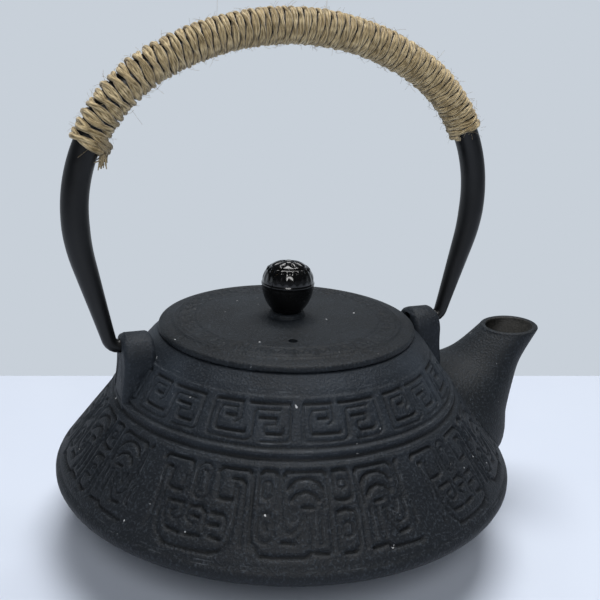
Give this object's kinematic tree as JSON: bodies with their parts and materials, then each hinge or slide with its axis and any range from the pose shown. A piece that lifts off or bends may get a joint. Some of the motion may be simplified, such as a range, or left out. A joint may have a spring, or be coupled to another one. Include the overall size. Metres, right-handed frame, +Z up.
{
  "type": "teapot",
  "caption": "Wide low cast-iron teapot with a short upturned spout, a knobbed lid, a lift-out strainer basket and an arched bail handle wound with twine.",
  "frame": {"origin": "centre of the flat foot on the surface that the pot stands on, on the axis of the turned vessel", "axes": "+Z up along the vessel's axis, +X towards the spout; the bail handle's arch lies in the XZ plane at rest"},
  "size_m": [0.1951, 0.1696, 0.1905],
  "materials": {
    "cast_iron": "matt black cast surface, fine sand texture",
    "bail_enamel": "satin black enamel on steel bar",
    "jute": "natural two-ply jute twine, tightly wound",
    "knob_gloss": "gloss black lacquer",
    "steel": "plain stainless"
  },
  "bodies": {
    "pot": {"pot_body": "cast_iron", "spout": "cast_iron", "lug_right": "cast_iron", "lug_left": "cast_iron"},
    "bail": {"bail": "bail_enamel", "jute_wrap": "jute"},
    "infuser": {"infuser_rim": "steel", "infuser_sleeve": "steel", "infuser_floor": "steel"},
    "lid": {"lid": "cast_iron"},
    "knob": {"knob": "knob_gloss", "knob_stud": "steel", "knob_washer": "steel", "knob_nut": "steel"}
  },
  "joints": [
    {"name": "bail_swing", "type": "hinge", "parent": "pot", "child": "bail", "pos_m": [0, 0, 0.0766], "axis": [1, 0, 0], "range_deg": [-100, 100]},
    {"name": "infuser_lift", "type": "slide", "parent": "pot", "child": "infuser", "axis": [0, 0, 1], "range_m": [0, 0.044]},
    {"name": "lid_lift", "type": "slide", "parent": "infuser", "child": "lid", "axis": [0, 0, 1], "range_m": [0, 0.026]},
    {"name": "knob_turn", "type": "hinge", "parent": "lid", "child": "knob", "pos_m": [0, 0, 0.0843], "axis": [0, 0, 1], "continuous": true}
  ]
}
